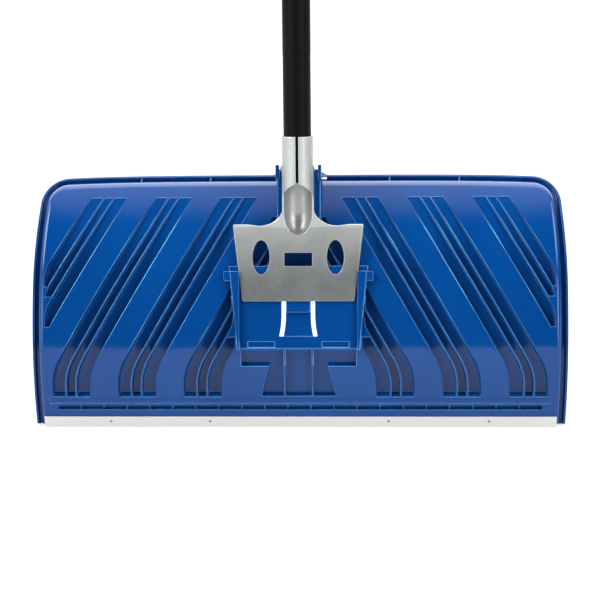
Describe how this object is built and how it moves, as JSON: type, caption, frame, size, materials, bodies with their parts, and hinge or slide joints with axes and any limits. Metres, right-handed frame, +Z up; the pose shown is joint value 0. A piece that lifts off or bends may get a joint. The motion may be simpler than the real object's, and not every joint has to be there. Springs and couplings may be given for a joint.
{
  "type": "snow shovel",
  "caption": "Wide ribbed poly pusher blade on a snap-in steel socket bracket, with a round steel pole and a D-grip.",
  "frame": {"origin": "centre of the footprint, on the ground under the blade", "axes": "+Z up along the pole, +X to the user's right along the blade, +Y the way the blade pushes"},
  "size_m": [0.61, 0.1098, 1.4322],
  "materials": {
    "blade_poly": "glossy blue poly",
    "strip_steel": "bright galvanised",
    "bracket_steel": "satin galvanised",
    "rivet_zinc": "zinc",
    "pole_coat": "satin black coating on steel tube",
    "grip_poly": "matte black poly"
  },
  "bodies": {
    "blade": {"blade": "blade_poly", "wear_strip": "strip_steel", "strip_rivet_1": "rivet_zinc", "strip_rivet_2": "rivet_zinc", "strip_rivet_3": "rivet_zinc", "strip_rivet_4": "rivet_zinc"},
    "handle": {"socket_bracket": "bracket_steel", "socket_rivet": "rivet_zinc", "pole": "pole_coat", "d_grip": "grip_poly", "grip_rivet": "rivet_zinc"},
    "tongue": {"snap_tongue": "blade_poly"}
  },
  "joints": [
    {"name": "handle_slide", "type": "slide", "parent": "blade", "child": "handle", "axis": [0, 0.2079, 0.9781], "range_m": [-0.0525, 0.16], "deforming": ["snap_tongue"]},
    {"name": "tongue_flex", "type": "hinge", "parent": "blade", "child": "tongue", "pos_m": [0, -0.04464, 0.10656], "axis": [-1, 0, 0], "range_deg": [0, 9], "stiffness_Nm_per_rad": 2.5}
  ]
}
